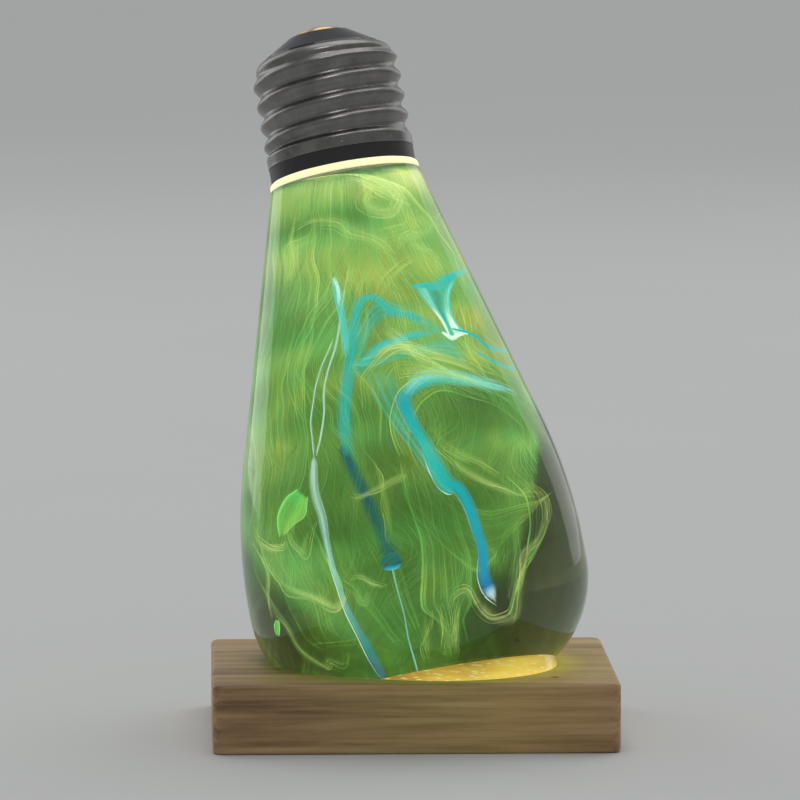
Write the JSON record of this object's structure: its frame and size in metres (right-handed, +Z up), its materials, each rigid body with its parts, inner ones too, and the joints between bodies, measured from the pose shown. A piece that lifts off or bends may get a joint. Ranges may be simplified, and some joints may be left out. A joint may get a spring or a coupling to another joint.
{
  "type": "resin bulb lamp",
  "caption": "Leaning cast-resin light bulb with ink veils inside, screw cap and glowing collar, on a small wooden plinth.",
  "frame": {"origin": "centre of the plinth's underside", "axes": "+Z up, +X to the right, -Y towards the front, from which the bulb leans left and back"},
  "size_m": [0.07, 0.0637, 0.1223],
  "materials": {
    "plinth_wood": "oiled, fine straight grain from left to right, eased edges",
    "clear_resin": "polished clear casting resin, pale olive in depth",
    "collar_diffuser": "translucent white, lit from inside",
    "led_board_white": "white solder mask on aluminium",
    "led_phosphor": "yellow phosphor in silicone, lit",
    "screw_steel": "zinc-plated",
    "pad_grey": "soft silicone",
    "sink_aluminium": "turned",
    "housing_plastic": "fine moulded texture",
    "board_green": "glass-fibre board, solder mask",
    "capacitor_sleeve": "shrink sleeve",
    "moulded_epoxy": "moulded, tinned legs",
    "winding_copper": "enamelled copper on ferrite",
    "resistor_blue": "lacquered",
    "wire_red": "PVC insulation",
    "wire_black": "PVC insulation",
    "tinned_wire": "tinned copper",
    "cap_metal": "nickel plate gone dark, rolled thread",
    "insulator_glass": "black glass",
    "contact_brass": "pressed",
    "solder": "tin solder, satin",
    "ink_green": "ink veils set in the resin",
    "ink_blue": "ink set in the resin",
    "ink_pale_blue": "ink set in the resin",
    "ink_cyan": "ink set in the resin",
    "ink_bright_green": "ink set in the resin"
  },
  "bodies": {
    "plinth": {"wood_plinth": "plinth_wood"},
    "lamp": {"resin_bulb": "clear_resin", "light_collar": "collar_diffuser", "led_board": "led_board_white", "led_chips": "led_phosphor", "led_board_screws": "screw_steel", "thermal_pad": "pad_grey", "heat_sink": "sink_aluminium", "driver_housing": "housing_plastic", "driver_board": "board_green", "smoothing_capacitor": "capacitor_sleeve", "bridge_rectifier": "moulded_epoxy", "driver_chip": "moulded_epoxy", "filter_inductor": "winding_copper", "fusible_resistor": "resistor_blue", "led_wire_red": "wire_red", "led_wire_black": "wire_black", "shell_wire": "tinned_wire", "contact_wire": "tinned_wire", "screw_shell": "cap_metal", "cap_insulator": "insulator_glass", "centre_contact": "contact_brass", "contact_solder": "solder", "ink_veils": "ink_green", "ink_hook_streak": "ink_blue", "ink_side_streak": "ink_pale_blue", "ink_bead": "ink_blue", "ink_bead_thread": "ink_blue", "ink_trunk_streak": "ink_cyan", "ink_funnel": "ink_cyan", "ink_right_threads": "ink_pale_blue", "ink_flecks": "ink_bright_green"}
  },
  "joints": [
    {"name": "lamp_lift", "type": "slide", "parent": "plinth", "child": "lamp", "axis": [0, 0, 1], "range_m": [0, 0.06]}
  ]
}
